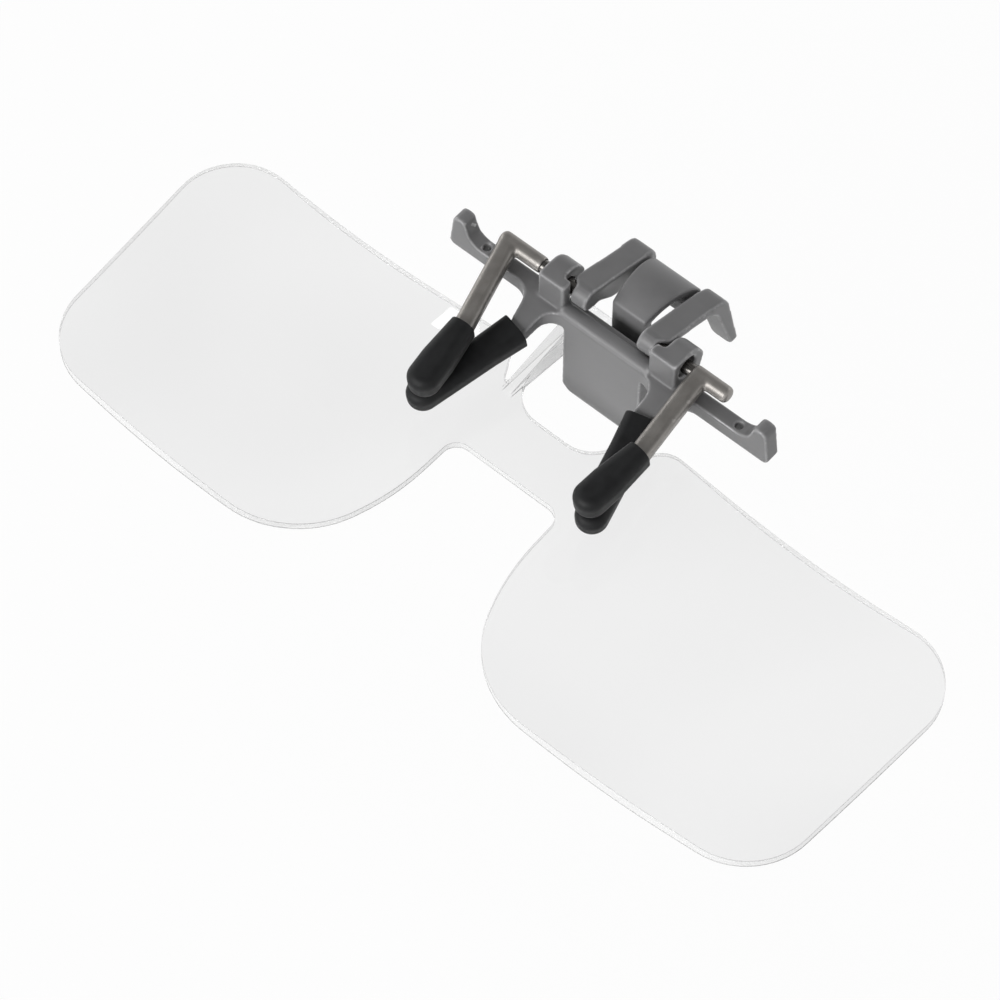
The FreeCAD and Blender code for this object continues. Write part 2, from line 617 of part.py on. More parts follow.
def arch_spring():
    """Arched strip that pushes the lever's rear end up and so keeps the arms shut."""
    start = Vector(SPRING_FRONT_Y, SPRING_SHOULDER_Z, 0)
    crown = Vector(SPRING_CROWN[0], SPRING_CROWN[1], 0)
    end = Vector(SPRING_REAR_Y, SPRING_END_Z, 0)
    outside = Part.Arc(start, crown, end)
    circle = outside.toShape().Curve
    centre = circle.Center
    inner_r = circle.Radius - SPRING_THICK
    front_y = SPRING_FRONT_Y + SPRING_THICK
    rear_y = SPRING_REAR_Y - SPRING_THICK
    top_z = centre.y + inner_r
    front_z = centre.y + math.sqrt(inner_r ** 2 - (front_y - centre.x) ** 2)
    rear_z = centre.y + math.sqrt(inner_r ** 2 - (rear_y - centre.x) ** 2)
    foot_z = CROSSBAR_TOP_Z + SPRING_FOOT_GAP
    inside = Part.Arc(Vector(rear_y, rear_z, 0), Vector(centre.x, top_z, 0), Vector(front_y, front_z, 0))
    runs = [
        Part.LineSegment(Vector(SPRING_FRONT_Y, SEAT_Z, 0), start),
        outside,
        Part.LineSegment(end, Vector(SPRING_REAR_Y, foot_z, 0)),
        Part.LineSegment(Vector(SPRING_REAR_Y, foot_z, 0), Vector(rear_y, foot_z, 0)),
        Part.LineSegment(Vector(rear_y, foot_z, 0), Vector(rear_y, rear_z, 0)),
        inside,
        Part.LineSegment(Vector(front_y, front_z, 0), Vector(front_y, SEAT_Z, 0)),
        Part.LineSegment(Vector(front_y, SEAT_Z, 0), Vector(SPRING_FRONT_Y, SEAT_Z, 0)),
    ]
    across, up, out = PLANES["YZ"]
    wide = 2 * SPRING_HALF_REAR
    strip = Part.Face(Part.Wire([run.toShape() for run in runs])).extrude(Vector(0, 0, wide))
    strip.translate(Vector(0, 0, -wide / 2))
    strip = seated(strip, Vector(0, 0, 0), across, up, out)
    plan = [
        (-SPRING_HALF_FRONT, SPRING_FRONT_Y, 0),
        (SPRING_HALF_FRONT, SPRING_FRONT_Y, 0),
        (SPRING_HALF_REAR, SPRING_REAR_Y, 0),
        (-SPRING_HALF_REAR, SPRING_REAR_Y, 0),
    ]
    return strip.common(prism(plan, "XY", SEAT_Z - OVERREACH, SPRING_CROWN[1] + OVERREACH))


def arm_core_end(side):
    """Where the stiff core of an arm stops inside its sleeve."""
    mouth = Vector(side * ARM_MOUTH[0], ARM_MOUTH[1], ARM_MOUTH[2])
    tip = Vector(side * ARM_TIP[0], ARM_TIP[1], ARM_TIP[2])
    run = tip - mouth
    return mouth + Vector(run).normalize() * (run.Length - CORE_SHORT)


def arm_elbow_x(side):
    """Middle of an arm at its elbow. The stub points to the right on both arms."""
    face = BLOCK_INNER_X + BLOCK_WIDE + ARM_TO_BLOCK
    if side > 0:
        return face + ARM_WIDE / 2
    return -(face + LEFT_STUB_LONG + ARM_WIDE / 2)


def clamp_arm(side):
    """One arm with its round stub; side is 1 on the right and -1 on the left."""
    elbow = Vector(arm_elbow_x(side), AXLE_Y, AXLE_Z)
    mouth = Vector(side * ARM_MOUTH[0], ARM_MOUTH[1], ARM_MOUTH[2])
    core_end = arm_core_end(side)
    knee = mouth + (mouth - core_end).normalize() * KNEE_OVERLAP
    upper = bar_between(elbow, mouth, ARM_WIDE, ARM_TALL, ARM_EDGE_R)
    core = bar_between(knee, core_end, ARM_WIDE, ARM_TALL, ARM_EDGE_R)
    low = elbow.x - ARM_WIDE / 2
    high = elbow.x + ARM_WIDE / 2 + (RIGHT_STUB_LONG if side > 0 else LEFT_STUB_LONG)
    stub = x_cylinder(STUB_R, low, high, AXLE_Y, AXLE_Z)
    ends = [edge for edge in stub.Edges if edge.Closed]
    stub = stub.makeChamfer(STUB_CHAMFER, ends)
    arm = joined([upper, core, stub])
    face = low if side > 0 else high
    grip = side * AXLE_GRIP
    bore = x_cylinder(AXLE_R, min(face, face + grip), max(face, face + grip), AXLE_Y, AXLE_Z)
    return arm.cut(bore)


def axle_pin():
    """Right axle pin, from the prong through the block into the arm."""
    inner = PRONG_NECK_X - AXLE_GRIP
    outer = BLOCK_INNER_X + BLOCK_WIDE + ARM_TO_BLOCK + AXLE_GRIP
    return x_cylinder(AXLE_R, inner, outer, AXLE_Y, AXLE_Z)


def front_sleeve(side):
    """Rubber sleeve on an arm: a narrow mouth, a wide belly and a round tip."""
    mouth = Vector(side * ARM_MOUTH[0], ARM_MOUTH[1], ARM_MOUTH[2])
    tip = Vector(side * ARM_TIP[0], ARM_TIP[1], ARM_TIP[2])
    pad = pad_between(
        mouth, tip, FRONT_SLEEVE_MOUTH, FRONT_SLEEVE_BELLY, FRONT_SLEEVE_WIDE,
        FRONT_SLEEVE_TALL, FRONT_SLEEVE_EDGE_R)
    back = mouth + (mouth - tip).normalize() * OVERREACH
    clear = 2 * SLEEVE_CLEARANCE
    hole = bar_between(back, arm_core_end(side), ARM_WIDE + clear, ARM_TALL + clear, ARM_EDGE_R)
    return pad.cut(hole)


def rear_sleeve():
    """Right rubber sleeve on the frame's rear finger, slightly flared at its mouth."""
    root = Vector(*FINGER_ROOT)
    tip = Vector(*FINGER_TIP)
    along = (tip - root).normalize()
    mouth = root + along * SLEEVE_FROM_LEG
    pad = pad_between(
        mouth, tip, REAR_SLEEVE_MOUTH, REAR_SLEEVE_MOUTH, REAR_SLEEVE_WIDE,
        REAR_SLEEVE_TALL, REAR_SLEEVE_EDGE_R)
    clear = 2 * SLEEVE_CLEARANCE
    hole = bar_between(
        root - along, finger_core_end(), FINGER_WIDE + clear, FINGER_TALL + clear, FINGER_EDGE_R)
    return pad.cut(hole)


def all_parts():
    """Every piece by its name, in the design frame."""
    sleeve = rear_sleeve()
    pin = axle_pin()
    return {
        "lens_pair": lens_pair(),
        "lens_hinge_pin": hinge_pin(),
        "clip_frame": clip_frame(),
        "clamp_lever": clamp_lever(),
        "arch_spring": arch_spring(),
        "right_axle_pin": pin,
        "left_axle_pin": mirrored(pin),
        "right_clamp_arm": clamp_arm(1),
        "left_clamp_arm": clamp_arm(-1),
        "right_front_sleeve": front_sleeve(1),
        "left_front_sleeve": front_sleeve(-1),
        "right_rear_sleeve": sleeve,
        "left_rear_sleeve": mirrored(sleeve),
    }


def rest_tilt():
    """Angle about X at which the wall's lower edge and the lens rims share a table."""
    rim_y = (LENS_BOTTOM_INNER_Y + LENS_BOTTOM_OUTER_Y) / 2
    sag = (rim_y - LENS_CENTRE[1]) ** 2 / (2 * SURFACE_R)
    rim_z = sag - CENTRE_THICK
    return math.degrees(math.atan2(rim_z - WALL_BOTTOM_Z, WALL_FRONT_Y - rim_y))


def laid_down(parts):
    """Tilts the parts to their rest and puts the origin under the middle of their box."""
    for shape in parts.values():
        shape.rotate(Vector(0, 0, 0), Vector(1, 0, 0), rest_tilt())
    box = Part.makeCompound(list(parts.values())).optimalBoundingBox(False, False)
    shift = Vector(-(box.XMin + box.XMax) / 2, -(box.YMin + box.YMax) / 2, -box.ZMin)
    for shape in parts.values():
        shape.translate(shift)
    return shift


os.makedirs("parts", exist_ok=True)
PARTS = all_parts()
SHIFT = laid_down(PARTS)
for name, shape in PARTS.items():
    shape.exportStep("parts/" + name + ".step")
print("rest tilt", round(rest_tilt(), 3), "degrees, shift", [round(v, 3) for v in SHIFT])
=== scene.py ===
import json
import math

import bmesh
import bpy
from mathutils import Matrix, Vector


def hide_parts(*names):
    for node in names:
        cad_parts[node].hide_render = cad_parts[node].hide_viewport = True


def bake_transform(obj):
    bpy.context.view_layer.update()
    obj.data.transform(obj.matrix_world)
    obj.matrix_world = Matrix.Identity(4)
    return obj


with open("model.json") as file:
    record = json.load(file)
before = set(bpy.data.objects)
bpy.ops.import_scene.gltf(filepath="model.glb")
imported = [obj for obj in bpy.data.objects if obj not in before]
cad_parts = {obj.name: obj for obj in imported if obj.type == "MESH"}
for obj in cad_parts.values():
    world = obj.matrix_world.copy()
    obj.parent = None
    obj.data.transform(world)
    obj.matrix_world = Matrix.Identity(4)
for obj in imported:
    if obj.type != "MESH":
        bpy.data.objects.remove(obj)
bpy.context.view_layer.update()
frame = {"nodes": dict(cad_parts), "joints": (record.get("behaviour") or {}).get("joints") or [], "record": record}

NODES = frame["nodes"]
MM = 0.001

# Camera, in the face frame: angles in degrees, distances in metres, lens and sensor in mm.
CAMERA_AZIMUTH = 40.682
CAMERA_ELEVATION = 58.600
CAMERA_DISTANCE = 0.554691
CAMERA_ASIDE = -0.005207
CAMERA_RAISED = -0.007452
CAMERA_LENS = 145.161
CAMERA_SENSOR = 36.0
CAMERA_NEAREST = 0.01
CAMERA_FARTHEST = 50
HINGE_ON_FACE = Vector((0, 19.5 * MM, -0.6 * MM))   # axis on which the lenses flip

# Rounding of the mouldings themselves: cell of the new mesh, and strength and rounds of its
# smoothing. A ridge gets a painted highlight from the first to the second value of
# Blender's pointiness.
MOULD_CELL = 0.17 * MM
MOULD_SMOOTHING = 0.5
MOULD_ROUNDS = {
    "clip_frame": 14,
    "clamp_lever": 22,
    "right_clamp_arm": 20,
    "left_clamp_arm": 20,
}
RIDGE = (0.508, 0.54)

# Rounding by shading: radius at the edges, and the cosine between the true normal and the
# rounded one, which is low on an edge and high away from it.
PLASTIC_EDGE = 0.40 * MM
METAL_EDGE = 0.25 * MM
RUBBER_EDGE = 0.3 * MM
LENS_EDGE = 0.24 * MM
EDGE_TURN = (0.80, 0.995)
LENS_EDGE_TURN = (0.90, 0.999)
BEVEL_SAMPLES = 12

# Spring strip.
SPRING_THICK = 1.5 * MM
SPRING_STATIONS = 28
SPRING_LEG_STATIONS = 6
SPRING_BEVEL = 0.35 * MM
SPRING_BEVEL_STEPS = 3
SPRING_BEVEL_ROUNDNESS = 0.5
SPRING_CREASE = math.radians(40)   # an edge that turns more than this is bevelled
SAME_PLACE = 0.02 * MM             # points as near as this to an end belong to it

# Studio. The surroundings light the loupe at SKY_LIGHT. Where they are seen they are SKY_LOW,
# and fade to SKY_TOP as the upward part of the direction goes through SKY_FADE.
SKY_LIGHT = 0.30
SKY_LOW = 1.0
SKY_TOP = 0.24
SKY_FADE = (0.35, 0.70)
FLOOR_HALF = 3.0
FLOOR_ROOM = 1.0 * MM
FLOOR_LEVEL = 0.93
FLOOR_GLOW = 0.95                  # share of plain white in what the floor shows

# Soft lamps: name, place in the face frame, width and height in metres, power in watts, and
# whether gloss and glass show them.
LAMPS = [
    ("front", (-0.15, -0.90, 0.45), 0.90, 0.50, 8.0, True),
    ("overhead", (-0.245, 0.285, 0.60), 0.22, 0.30, 0.20, False),
    ("left_strip", (-0.70, 0.10, 0.45), 0.10, 0.60, 0.9, True),
    ("rear_strip", (0.25, 0.80, 0.45), 0.60, 0.10, 0.9, True),
]

# Ranges that the materials share. Most of a noise lies in NOISE_SPREAD.
NOISE_SPREAD = (0.3, 0.7)
RISING = (0.0, 1.0)
FALLING = (1.0, 0.0)
EVENLY = (1, 1, 1)

# Places of the sockets on the mix node, which has a set of them for each kind of value.
MIX_SHARE = 0
MIX_NUMBERS = (2, 3)
MIX_NUMBER_OUT = 0
MIX_COLOURS = (6, 7)
MIX_COLOUR_OUT = 2


def named(rows, name):
    """The row of that name."""
    return next(row for row in rows if row["name"] == name)


def face_frame():
    """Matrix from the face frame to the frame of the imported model."""
    depth = Vector(named(frame["record"]["mounts"], "bar_hole_right")["axis"])
    turn = Matrix.Rotation(math.atan2(-depth.y, depth.z), 4, "X")
    hinge = Vector(named(frame["joints"], "lens_flip")["pos_m"])
    return Matrix.Translation(hinge - turn @ HINGE_ON_FACE) @ turn


FACE = face_frame()


def make_camera():
    """Camera at the photograph's viewing angle."""
    a = math.radians(CAMERA_AZIMUTH)
    e = math.radians(CAMERA_ELEVATION)
    right = Vector((math.cos(a), math.sin(a), 0))
    up = Vector((-math.sin(a) * math.sin(e), math.cos(a) * math.sin(e), math.cos(e)))
    back = Vector((math.sin(a) * math.cos(e), -math.cos(a) * math.cos(e), math.sin(e)))
    place = Matrix((right, up, back)).transposed().to_4x4()
    place.translation = back * CAMERA_DISTANCE + right * CAMERA_ASIDE + up * CAMERA_RAISED
    data = bpy.data.cameras.new("camera")
    data.lens = CAMERA_LENS
    data.sensor_width = CAMERA_SENSOR
    data.clip_start = CAMERA_NEAREST
    data.clip_end = CAMERA_FARTHEST
    camera = bpy.data.objects.new("camera", data)
    camera.matrix_world = FACE @ place
    bpy.context.scene.collection.objects.link(camera)
    bpy.context.scene.camera = camera


def feed(tree, node, inputs):
    """Links inputs of a node, by name or place, to sockets, or sets them to values."""
    for key, source in inputs.items():
        if isinstance(source, bpy.types.NodeSocket):
            tree.links.new(source, node.inputs[key])
        else:
            node.inputs[key].default_value = source


def add(tree, kind, inputs=None, **settings):
    """A new node with its settings and inputs."""
    made = tree.nodes.new(kind)
    for name, value in settings.items():
        setattr(made, name, value)
    feed(tree, made, inputs or {})
    return made


def new_material(name):
    """A material, its tree and its principled shader."""
    made = bpy.data.materials.new(name)
    made.use_nodes = True
    tree = made.node_tree
    return made, tree, tree.nodes["Principled BSDF"]


def stretched(tree, scale):
    """Coordinates of the piece, in metres, stretched by scale along each axis."""
    place = add(tree, "ShaderNodeTexCoord").outputs["Object"]
    return add(tree, "ShaderNodeMapping", {"Vector": place, "Scale": scale}).outputs["Vector"]


def noise(tree, where, scale, detail=3.0, rough=0.5):
    """Noise of about 1 / scale metres, from 0 to 1."""
    made = add(tree, "ShaderNodeTexNoise", {
        "Vector": where, "Scale": scale, "Detail": detail, "Roughness": rough})
    return made.outputs["Fac"]


def ranged(tree, value, span, to):
    """The value carried over from one range to another, and held to its ends."""
    made = add(tree, "ShaderNodeMapRange", {
        "Value": value, "From Min": span[0], "From Max": span[1],
        "To Min": to[0], "To Max": to[1]})
    return made.outputs["Result"]


def blended(tree, share, first, second):
    """Colour between first and second by share."""
    made = add(tree, "ShaderNodeMix", {
        MIX_SHARE: share, MIX_COLOURS[0]: first, MIX_COLOURS[1]: second}, data_type="RGBA")
    return made.outputs[MIX_COLOUR_OUT]


def clouded(tree, clouds, colours, spread=NOISE_SPREAD):
    """Colour that wavers between two with the clouds."""
    return blended(tree, ranged(tree, clouds, spread, RISING), *colours)


def calculated(tree, operation, first, second=0.0):
    """Result of a math node's operation on one or two values."""
    return add(tree, "ShaderNodeMath", {0: first, 1: second}, operation=operation).outputs[0]


def scaled(tree, value, share):
    """The value times a share."""
    return calculated(tree, "MULTIPLY", value, share)


def alignment(tree, first, second):
    """Cosine of the angle between two directions."""
    made = add(tree, "ShaderNodeVectorMath", {0: first, 1: second}, operation="DOT_PRODUCT")
    return made.outputs["Value"]


def rounded_normal(tree, radius):
    """Normal with the edges rounded at that radius."""
    made = add(tree, "ShaderNodeBevel", {"Radius": radius}, samples=BEVEL_SAMPLES)
    return made.outputs["Normal"]


def edge_mask(tree, rounded, turn=EDGE_TURN):
    """Mask that is 1 on the edges, where the rounded normal leaves the true one."""
    true = add(tree, "ShaderNodeNewGeometry").outputs["Normal"]
    return ranged(tree, alignment(tree, rounded, true), turn, FALLING)


def ridge_mask(tree):
    """Mask that is 1 on the rounded ridges of a finely meshed piece."""
    point = add(tree, "ShaderNodeNewGeometry").outputs["Pointiness"]
    return ranged(tree, point, RIDGE, RISING)


def bumped(tree, height, normal, distance, strength):
    """Normal with the bumps of height on it."""
    made = add(tree, "ShaderNodeBump", {
        "Height": height, "Normal": normal, "Distance": distance, "Strength": strength})
    return made.outputs["Normal"]


def grey(level, tint=(1.0, 1.0, 1.0)):
    """Colour of that linear level."""
    return (level * tint[0], level * tint[1], level * tint[2], 1.0)


WHITE = grey(1.0)

PLASTIC_TINT = (1.0, 0.995, 1.01)
PLASTIC_BODY = (grey(0.169, PLASTIC_TINT), grey(0.193, PLASTIC_TINT))
# Painted highlight: a paler grey laid on the ridges, where lamps catch the rounded edges.
PLASTIC_PAINTED_HIGHLIGHT = grey(0.42, PLASTIC_TINT)
PLASTIC_PAINTED_HIGHLIGHT_SHARE = 0.70
# Painted glints: near-white spots on the crests of the ridges.
PLASTIC_PAINTED_GLINT = grey(0.75, PLASTIC_TINT)
PLASTIC_PAINTED_GLINT_PATCHES = (0.50, 0.66)
PLASTIC_PAINTED_GLINT_SHARES = (0.0, 0.7)
PLASTIC_PAINTED_GLINT_CREST = (0.5, 1.0)         # part of the ridge mask that carries painted glints
PLASTIC_ROUGHNESS = (0.34, 0.46)
PLASTIC_EDGE_POLISH = 0.20         # how much less rough an edge is
PLASTIC_BUMP = 0.012 * MM
PLASTIC_BUMP_STRENGTH = 0.7
PLASTIC_SPECULAR = 0.5


def grey_plastic(name, finely_meshed=True):
    """Satin mid-grey moulding: fine grain, faint flow clouds, smoother edges with a painted highlight, and painted
    glints on the crests.
    """
    made, tree, shader = new_material(name)
    where = stretched(tree, EVENLY)
    rounded = rounded_normal(tree, PLASTIC_EDGE)
    edge = ridge_mask(tree) if finely_meshed else edge_mask(tree, rounded)
    clouds = noise(tree, where, scale=240.0, detail=4.0)
    grain = noise(tree, where, scale=5200.0, detail=2.0)
    painted_glint_spots = noise(tree, where, scale=900.0, detail=2.0)
    body = clouded(tree, clouds, PLASTIC_BODY)
    # Painted highlight: the ridges are blended towards a paler grey.
    painted_highlight = blended(tree, scaled(tree, edge, PLASTIC_PAINTED_HIGHLIGHT_SHARE), body, PLASTIC_PAINTED_HIGHLIGHT)
    # Painted glints: spots of a noise on the crests of the ridges.
    painted_glint_patches = ranged(tree, painted_glint_spots, PLASTIC_PAINTED_GLINT_PATCHES, PLASTIC_PAINTED_GLINT_SHARES)
    painted_glint_crest = ranged(tree, edge, PLASTIC_PAINTED_GLINT_CREST, RISING)
    dull = ranged(tree, clouds, NOISE_SPREAD, PLASTIC_ROUGHNESS)
    polish = scaled(tree, edge, PLASTIC_EDGE_POLISH)
    feed(tree, shader, {
        "Base Color": blended(tree, scaled(tree, painted_glint_crest, painted_glint_patches), painted_highlight, PLASTIC_PAINTED_GLINT),
        "Roughness": calculated(tree, "SUBTRACT", dull, polish),
        "Normal": bumped(tree, grain, rounded, PLASTIC_BUMP, PLASTIC_BUMP_STRENGTH),
    })
    shader.inputs["Specular IOR Level"].default_value = PLASTIC_SPECULAR
    return made


METAL_DRAWN = (1, 0.07, 1)         # the streaks run along the arms
METAL_BODY = ((0.240, 0.227, 0.212, 1), (0.310, 0.295, 0.278, 1))
# Painted highlight: a paler warm grey on the ridges of the arms.
METAL_PAINTED_HIGHLIGHT = (0.46, 0.44, 0.42, 1)
METAL_PAINTED_HIGHLIGHT_SHARE = 0.6
METAL_STREAKS = (0.25, 0.75)
METAL_ROUGHNESS = (0.34, 0.48)
METAL_BUMP = 0.006 * MM
METAL_BUMP_STRENGTH = 0.6
METAL_METALLIC = 0.70


def satin_metal():
    """Warm grey satin metal, drawn along the arms, with a painted highlight on its edges."""
    made, tree, shader = new_material("satin_metal")
    streaks = noise(tree, stretched(tree, METAL_DRAWN), scale=4200.0)
    clouds = noise(tree, stretched(tree, EVENLY), scale=420.0)
    body = clouded(tree, clouds, METAL_BODY)
    # Painted highlight on the ridges.
    painted_highlight = scaled(tree, ridge_mask(tree), METAL_PAINTED_HIGHLIGHT_SHARE)
    rounded = rounded_normal(tree, METAL_EDGE)
    feed(tree, shader, {
        "Base Color": blended(tree, painted_highlight, body, METAL_PAINTED_HIGHLIGHT),
        "Roughness": ranged(tree, streaks, METAL_STREAKS, METAL_ROUGHNESS),
        "Normal": bumped(tree, streaks, rounded, METAL_BUMP, METAL_BUMP_STRENGTH),
    })
    shader.inputs["Metallic"].default_value = METAL_METALLIC
    return made


RUBBER_TINT = (0.96, 1.0, 1.08)
RUBBER_BODY = (grey(0.007, RUBBER_TINT), grey(0.012, RUBBER_TINT))
RUBBER_CLOUDS = (0.35, 0.7)
# A paler grey on the edges of the sleeves.
RUBBER_PALE_EDGE = grey(0.030, RUBBER_TINT)
RUBBER_PALE_EDGE_SHARE = 0.5
RUBBER_ROUGHNESS = (0.46, 0.62)
RUBBER_BUMP = 0.02 * MM
RUBBER_BUMP_STRENGTH = 0.8
RUBBER_SPECULAR = 0.24
RUBBER_SHEEN = 0.08
RUBBER_SHEEN_ROUGHNESS = 0.5


def black_rubber():
    """Near-black soft rubber with a fine grain and a faint paler grey on its edges."""
    made, tree, shader = new_material("black_rubber")
    where = stretched(tree, EVENLY)
    rounded = rounded_normal(tree, RUBBER_EDGE)
    clouds = noise(tree, where, scale=500.0, detail=5.0, rough=0.6)
    grain = noise(tree, where, scale=3800.0)
    body = clouded(tree, clouds, RUBBER_BODY, RUBBER_CLOUDS)
    # Paler grey on the edges.
    pale_edges = scaled(tree, edge_mask(tree, rounded), RUBBER_PALE_EDGE_SHARE)
    feed(tree, shader, {
        "Base Color": blended(tree, pale_edges, body, RUBBER_PALE_EDGE),
        "Roughness": ranged(tree, clouds, NOISE_SPREAD, RUBBER_ROUGHNESS),
        "Normal": bumped(tree, grain, rounded, RUBBER_BUMP, RUBBER_BUMP_STRENGTH),
    })
    shader.inputs["Specular IOR Level"].default_value = RUBBER_SPECULAR
    shader.inputs["Sheen Weight"].default_value = RUBBER_SHEEN
    shader.inputs["Sheen Roughness"].default_value = RUBBER_SHEEN_ROUGHNESS
    return made


PIN_DRAWN = (0.1, 1, 1)            # the pins lie along X
PIN_BODY = ((0.12, 0.115, 0.11, 1), (0.22, 0.21, 0.20, 1))
PIN_ROUGHNESS = (0.18, 0.34)
PIN_BUMP = 0.004 * MM
PIN_BUMP_STRENGTH = 0.5
PIN_METALLIC = 1.0


def pin_steel():
    """Drawn steel of the hinge and axle pins."""
    made, tree, shader = new_material("pin_steel")
    streaks = noise(tree, stretched(tree, PIN_DRAWN), scale=6000.0, detail=2.0)
    rounded = rounded_normal(tree, METAL_EDGE)
    feed(tree, shader, {
        "Base Color": blended(tree, streaks, *PIN_BODY),
        "Roughness": ranged(tree, streaks, NOISE_SPREAD, PIN_ROUGHNESS),
        "Normal": bumped(tree, streaks, rounded, PIN_BUMP, PIN_BUMP_STRENGTH),
    })
    shader.inputs["Metallic"].default_value = PIN_METALLIC
    return made


ACRYLIC_BODY = (grey(0.895), grey(0.945))
ACRYLIC_RIM = grey(0.97)
# Painted shade: grey on the rounded edges stands in for the dark line that refraction gives them.
ACRYLIC_PAINTED_EDGE_SHADE = grey(0.55)
ACRYLIC_PAINTED_EDGE_SHADE_SHARE = 0.85
RIM_FACING = (0.35, 0.75)          # a face is rim below the first value, and not above the second
RIM_ALPHA = 0.35                   # the cut rim of the lenses lets most light straight through
RIM_TRANSMISSION = 0.15
RIM_ROUGHNESS = 0.12
ACRYLIC_SPECKS = (0.6, 0.8)
ACRYLIC_SCUFFS = (0.0, 0.02)
ACRYLIC_BUMP = 0.05 * MM
ACRYLIC_BUMP_STRENGTH = 0.25
ACRYLIC_IOR = 1.49


def clear_acrylic():
    """Clear polished moulding: a faint grey body, slow flow waves, a bright rim, thin grey painted shade on the
    edges.
    """
    made, tree, shader = new_material("clear_acrylic")
    where = stretched(tree, EVENLY)
    rounded = rounded_normal(tree, LENS_EDGE)
    edge = edge_mask(tree, rounded, LENS_EDGE_TURN)
    flow = noise(tree, where, scale=26.0, detail=1.0)
    specks = noise(tree, where, scale=900.0, detail=4.0, rough=0.6)
    surface = add(tree, "ShaderNodeTexCoord").outputs["Normal"]
    to_wearer = FACE.to_3x3() @ Vector((0, 0, 1))
    facing = calculated(tree, "ABSOLUTE", alignment(tree, surface, to_wearer))
    rim = ranged(tree, facing, RIM_FACING, FALLING)
    open_rim = scaled(tree, rim, calculated(tree, "SUBTRACT", 1.0, edge))
    cut = blended(tree, rim, clouded(tree, flow, ACRYLIC_BODY), ACRYLIC_RIM)
    scuffs = ranged(tree, specks, ACRYLIC_SPECKS, ACRYLIC_SCUFFS)
    # The base colour carries the painted shade on the edges.
    feed(tree, shader, {
        "Base Color": blended(tree, scaled(tree, edge, ACRYLIC_PAINTED_EDGE_SHADE_SHARE), cut, ACRYLIC_PAINTED_EDGE_SHADE),
        "Alpha": ranged(tree, open_rim, RISING, (1.0, RIM_ALPHA)),
        "Roughness": calculated(tree, "ADD", scuffs, scaled(tree, rim, RIM_ROUGHNESS)),
        "Transmission Weight": ranged(tree, rim, RISING, (1.0, RIM_TRANSMISSION)),
        "Normal": bumped(tree, flow, rounded, ACRYLIC_BUMP, ACRYLIC_BUMP_STRENGTH),
    })
    shader.inputs["IOR"].default_value = ACRYLIC_IOR
    return made


MATERIALS = {
    "clear_acrylic": clear_acrylic(),
    "grey_plastic": grey_plastic("grey_plastic"),
    "strip_plastic": grey_plastic("strip_plastic", finely_meshed=False),
    "satin_metal": satin_metal(),
    "black_rubber": black_rubber(),
    "pin_steel": pin_steel(),
}
NODE_MATERIAL = {
    "lens_pair": "clear_acrylic",
    "lens_hinge_pin": "pin_steel",
    "clip_frame": "grey_plastic",
    "clamp_lever": "grey_plastic",
    "arch_spring": "grey_plastic",
    "right_axle_pin": "pin_steel",
    "left_axle_pin": "pin_steel",
    "right_clamp_arm": "satin_metal",
    "left_clamp_arm": "satin_metal",
    "right_front_sleeve": "black_rubber",
    "left_front_sleeve": "black_rubber",
    "right_rear_sleeve": "black_rubber",
    "left_rear_sleeve": "black_rubber",
}


def dress_nodes():
    """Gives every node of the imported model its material."""
    for name, finish in NODE_MATERIAL.items():
        mesh = NODES[name].data
        mesh.materials.clear()
        mesh.materials.append(MATERIALS[finish])


def soften(name, rounds):
    """Rounds a moulded node all over, without touching its own mesh."""
    remade = NODES[name].modifiers.new("remade", "REMESH")
    remade.mode = "VOXEL"
    remade.voxel_size = MOULD_CELL
    remade.use_smooth_shade = True
    smoothed = NODES[name].modifiers.new("smoothed", "SMOOTH")
    smoothed.factor = MOULD_SMOOTHING
    smoothed.iterations = rounds


def circle_through(first, second, third):
    """Centre and radius of the circle through three points of a plane."""
    (ax, ay), (bx, by), (cx, cy) = first, second, third
    d = 2 * (ax * (by - cy) + bx * (cy - ay) + cx * (ay - by))
    a2 = ax * ax + ay * ay
    b2 = bx * bx + by * by
    c2 = cx * cx + cy * cy
    x = (a2 * (by - cy) + b2 * (cy - ay) + c2 * (ay - by)) / d
    y = (a2 * (cx - bx) + b2 * (ax - cx) + c2 * (bx - ax)) / d
    return (x, y), math.hypot(ax - x, ay - y)


def on_circle(centre, radius, y):
    """The upper point of the circle at that Y."""
    return y, centre[1] + math.sqrt(radius ** 2 - (y - centre[0]) ** 2)


def arc(centre, radius, first, last):
    """Points along the circle, from the angle of the first point to the angle of the last."""
    start = math.atan2(first[1] - centre[1], first[0] - centre[0])
    end = math.atan2(last[1] - centre[1], last[0] - centre[0])
    points = []
    for i in range(SPRING_STATIONS + 1):
        angle = start + (end - start) * (i / SPRING_STATIONS)
        points.append((centre[0] + radius * math.cos(angle), centre[1] + radius * math.sin(angle)))
    return points


def spring_stations(foot, shoulder, top, end, rest):
    """Outer and inner points along the strip, as (Y, Z), from its foot over its top to its rest.

    The five points given are on the outside of the strip. The foot is straight below the
    shoulder, and the rest straight below the end.
    """
    centre, radius = circle_through(shoulder, top, end)
    inner = radius - SPRING_THICK
    inner_shoulder = on_circle(centre, inner, shoulder[0] + SPRING_THICK)
    inner_end = on_circle(centre, inner, end[0] - SPRING_THICK)
    stations = []
    for i in range(SPRING_LEG_STATIONS):
        share = i / SPRING_LEG_STATIONS
        outer_height = foot[1] + (shoulder[1] - foot[1]) * share
        inner_height = foot[1] + (inner_shoulder[1] - foot[1]) * share
        stations.append(((foot[0], outer_height), (inner_shoulder[0], inner_height)))
    outer_arc = arc(centre, radius, shoulder, end)
    inner_arc = arc(centre, inner, inner_shoulder, inner_end)
    stations.extend(zip(outer_arc, inner_arc))
    stations.append((rest, (inner_end[0], rest[1])))
    return stations


